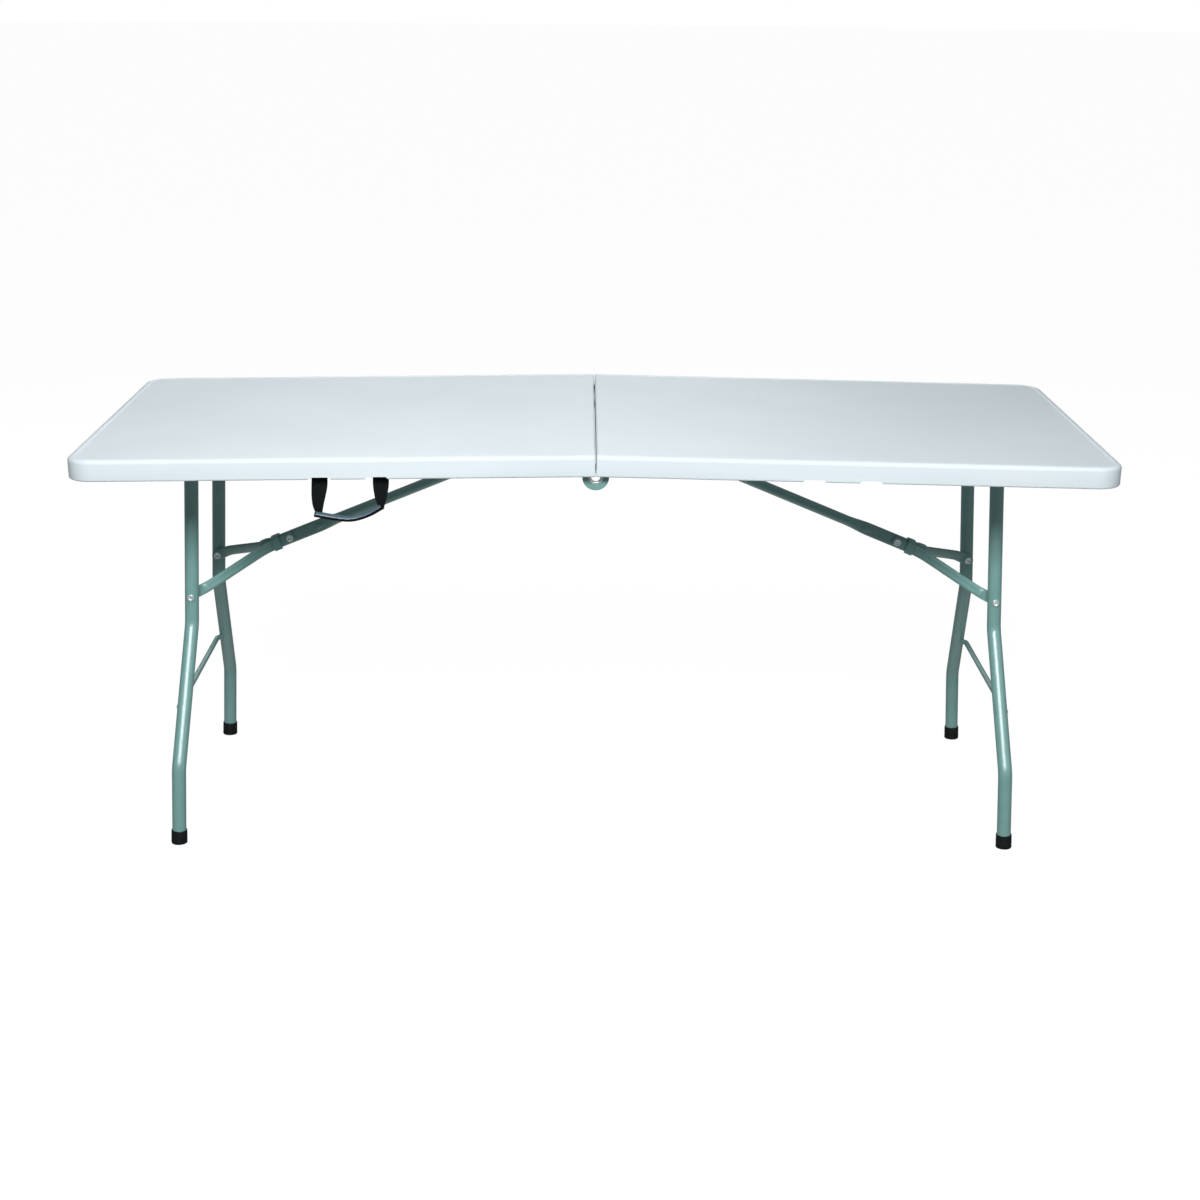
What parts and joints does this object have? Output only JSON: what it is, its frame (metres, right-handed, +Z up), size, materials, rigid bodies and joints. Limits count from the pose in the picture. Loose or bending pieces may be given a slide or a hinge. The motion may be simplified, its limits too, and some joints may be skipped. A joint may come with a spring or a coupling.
{
  "type": "folding table",
  "caption": "Fold-in-half banquet table: two moulded white top halves, folding tubular leg frames, locking Y braces and a webbing carry handle.",
  "frame": {"origin": "on the floor under the middle of the seam between the two halves", "axes": "+X along the table's length towards the half without the handle, +Y towards the back, +Z up; the carry handle is on the -Y side"},
  "size_m": [1.801, 0.74, 0.7508],
  "materials": {
    "white_plastic": "fine pebble grain, slightly cool white",
    "green_grey_steel": "semi-gloss powder coat",
    "zinc": "plated",
    "black_rubber": "matte",
    "black_webbing": "woven",
    "dark_grip": "satin blue-grey over black"
  },
  "bodies": {
    "left_half": {"top_left": "white_plastic", "brace_rod_left": "green_grey_steel", "rail_left_front": "green_grey_steel", "rail_left_back": "green_grey_steel", "hinge_plate_left_front": "green_grey_steel", "hinge_plate_left_back": "green_grey_steel", "brace_bracket_left_front": "green_grey_steel", "brace_bracket_left_back": "green_grey_steel", "rail_screw_left_front_1": "zinc", "rail_screw_left_front_2": "zinc", "rail_screw_left_back_1": "zinc", "rail_screw_left_back_2": "zinc", "hinge_eyelet_front": "zinc", "hinge_eyelet_back": "zinc", "handle_anchor_1": "green_grey_steel", "handle_anchor_2": "green_grey_steel"},
    "legs_left": {"leg_pivot_tube_left": "green_grey_steel", "leg_crossbar_left": "green_grey_steel", "leg_tube_left_front": "green_grey_steel", "leg_tube_left_back": "green_grey_steel", "foot_cap_left_front": "black_rubber", "foot_cap_left_back": "black_rubber", "leg_rivet_left_front": "zinc", "leg_rivet_left_back": "zinc"},
    "link_left": {"brace_link_left": "green_grey_steel", "knee_rivet_left": "zinc"},
    "arms_left": {"brace_arm_left_front": "green_grey_steel", "brace_arm_left_back": "green_grey_steel"},
    "ring_left": {"lock_ring_left": "green_grey_steel"},
    "right_half": {"top_right": "white_plastic", "brace_rod_right": "green_grey_steel", "rail_right_front": "green_grey_steel", "rail_right_back": "green_grey_steel", "hinge_plate_right_front": "green_grey_steel", "hinge_plate_right_back": "green_grey_steel", "brace_bracket_right_front": "green_grey_steel", "brace_bracket_right_back": "green_grey_steel", "rail_screw_right_front_1": "zinc", "rail_screw_right_front_2": "zinc", "rail_screw_right_back_1": "zinc", "rail_screw_right_back_2": "zinc"},
    "legs_right": {"leg_pivot_tube_right": "green_grey_steel", "leg_crossbar_right": "green_grey_steel", "leg_tube_right_front": "green_grey_steel", "leg_tube_right_back": "green_grey_steel", "foot_cap_right_front": "black_rubber", "foot_cap_right_back": "black_rubber", "leg_rivet_right_front": "zinc", "leg_rivet_right_back": "zinc"},
    "link_right": {"brace_link_right": "green_grey_steel", "knee_rivet_right": "zinc"},
    "arms_right": {"brace_arm_right_front": "green_grey_steel", "brace_arm_right_back": "green_grey_steel"},
    "ring_right": {"lock_ring_right": "green_grey_steel"},
    "handle": {"handle_strap_1": "black_webbing", "handle_strap_2": "black_webbing", "handle_grip": "dark_grip"}
  },
  "joints": [
    {"name": "table_fold", "type": "hinge", "parent": "left_half", "child": "right_half", "pos_m": [0, 0, 0.7083], "axis": [0, 1, 0], "range_deg": [0, 80]},
    {"name": "legs_left_fold", "type": "hinge", "parent": "left_half", "child": "legs_left", "pos_m": [-0.72422, 0, 0.71466], "axis": [0, -1, 0], "range_deg": [0, 93.51]},
    {"name": "link_left_swing", "type": "hinge", "parent": "left_half", "child": "link_left", "pos_m": [-0.02539, 0, 0.73036], "axis": [0, -1, 0], "range_deg": [-21.03, 0]},
    {"name": "knee_left", "type": "hinge", "parent": "link_left", "child": "arms_left", "pos_m": [-0.574, 0, 0.5035], "axis": [0, -1, 0], "range_deg": [0, 178.22]},
    {"name": "ring_left_slide", "type": "slide", "parent": "link_left", "child": "ring_left", "axis": [0.9241, 0, 0.3821], "range_m": [0, 0.048]},
    {"name": "legs_right_fold", "type": "hinge", "parent": "right_half", "child": "legs_right", "pos_m": [0.72422, 0, 0.71466], "axis": [0, 1, 0], "range_deg": [0, 93.51]},
    {"name": "link_right_swing", "type": "hinge", "parent": "right_half", "child": "link_right", "pos_m": [0.02539, 0, 0.73036], "axis": [0, 1, 0], "range_deg": [-21.03, 0]},
    {"name": "knee_right", "type": "hinge", "parent": "link_right", "child": "arms_right", "pos_m": [0.574, 0, 0.5035], "axis": [0, 1, 0], "range_deg": [0, 178.22]},
    {"name": "ring_right_slide", "type": "slide", "parent": "link_right", "child": "ring_right", "axis": [-0.9241, 0, 0.3821], "range_m": [0, 0.048]},
    {"name": "handle_swing", "type": "hinge", "parent": "left_half", "child": "handle", "pos_m": [-0.41714, -0.3497, 0.70702], "axis": [-0.9998, 0, -0.0175], "range_deg": [-60, 60]}
  ],
  "couplings": [
    {"joint": "link_left_swing", "follows": "legs_left_fold", "ratio": -0.22437},
    {"joint": "knee_left", "follows": "legs_left_fold", "ratio": 1.9053},
    {"joint": "link_right_swing", "follows": "legs_right_fold", "ratio": -0.22437},
    {"joint": "knee_right", "follows": "legs_right_fold", "ratio": 1.9053}
  ]
}
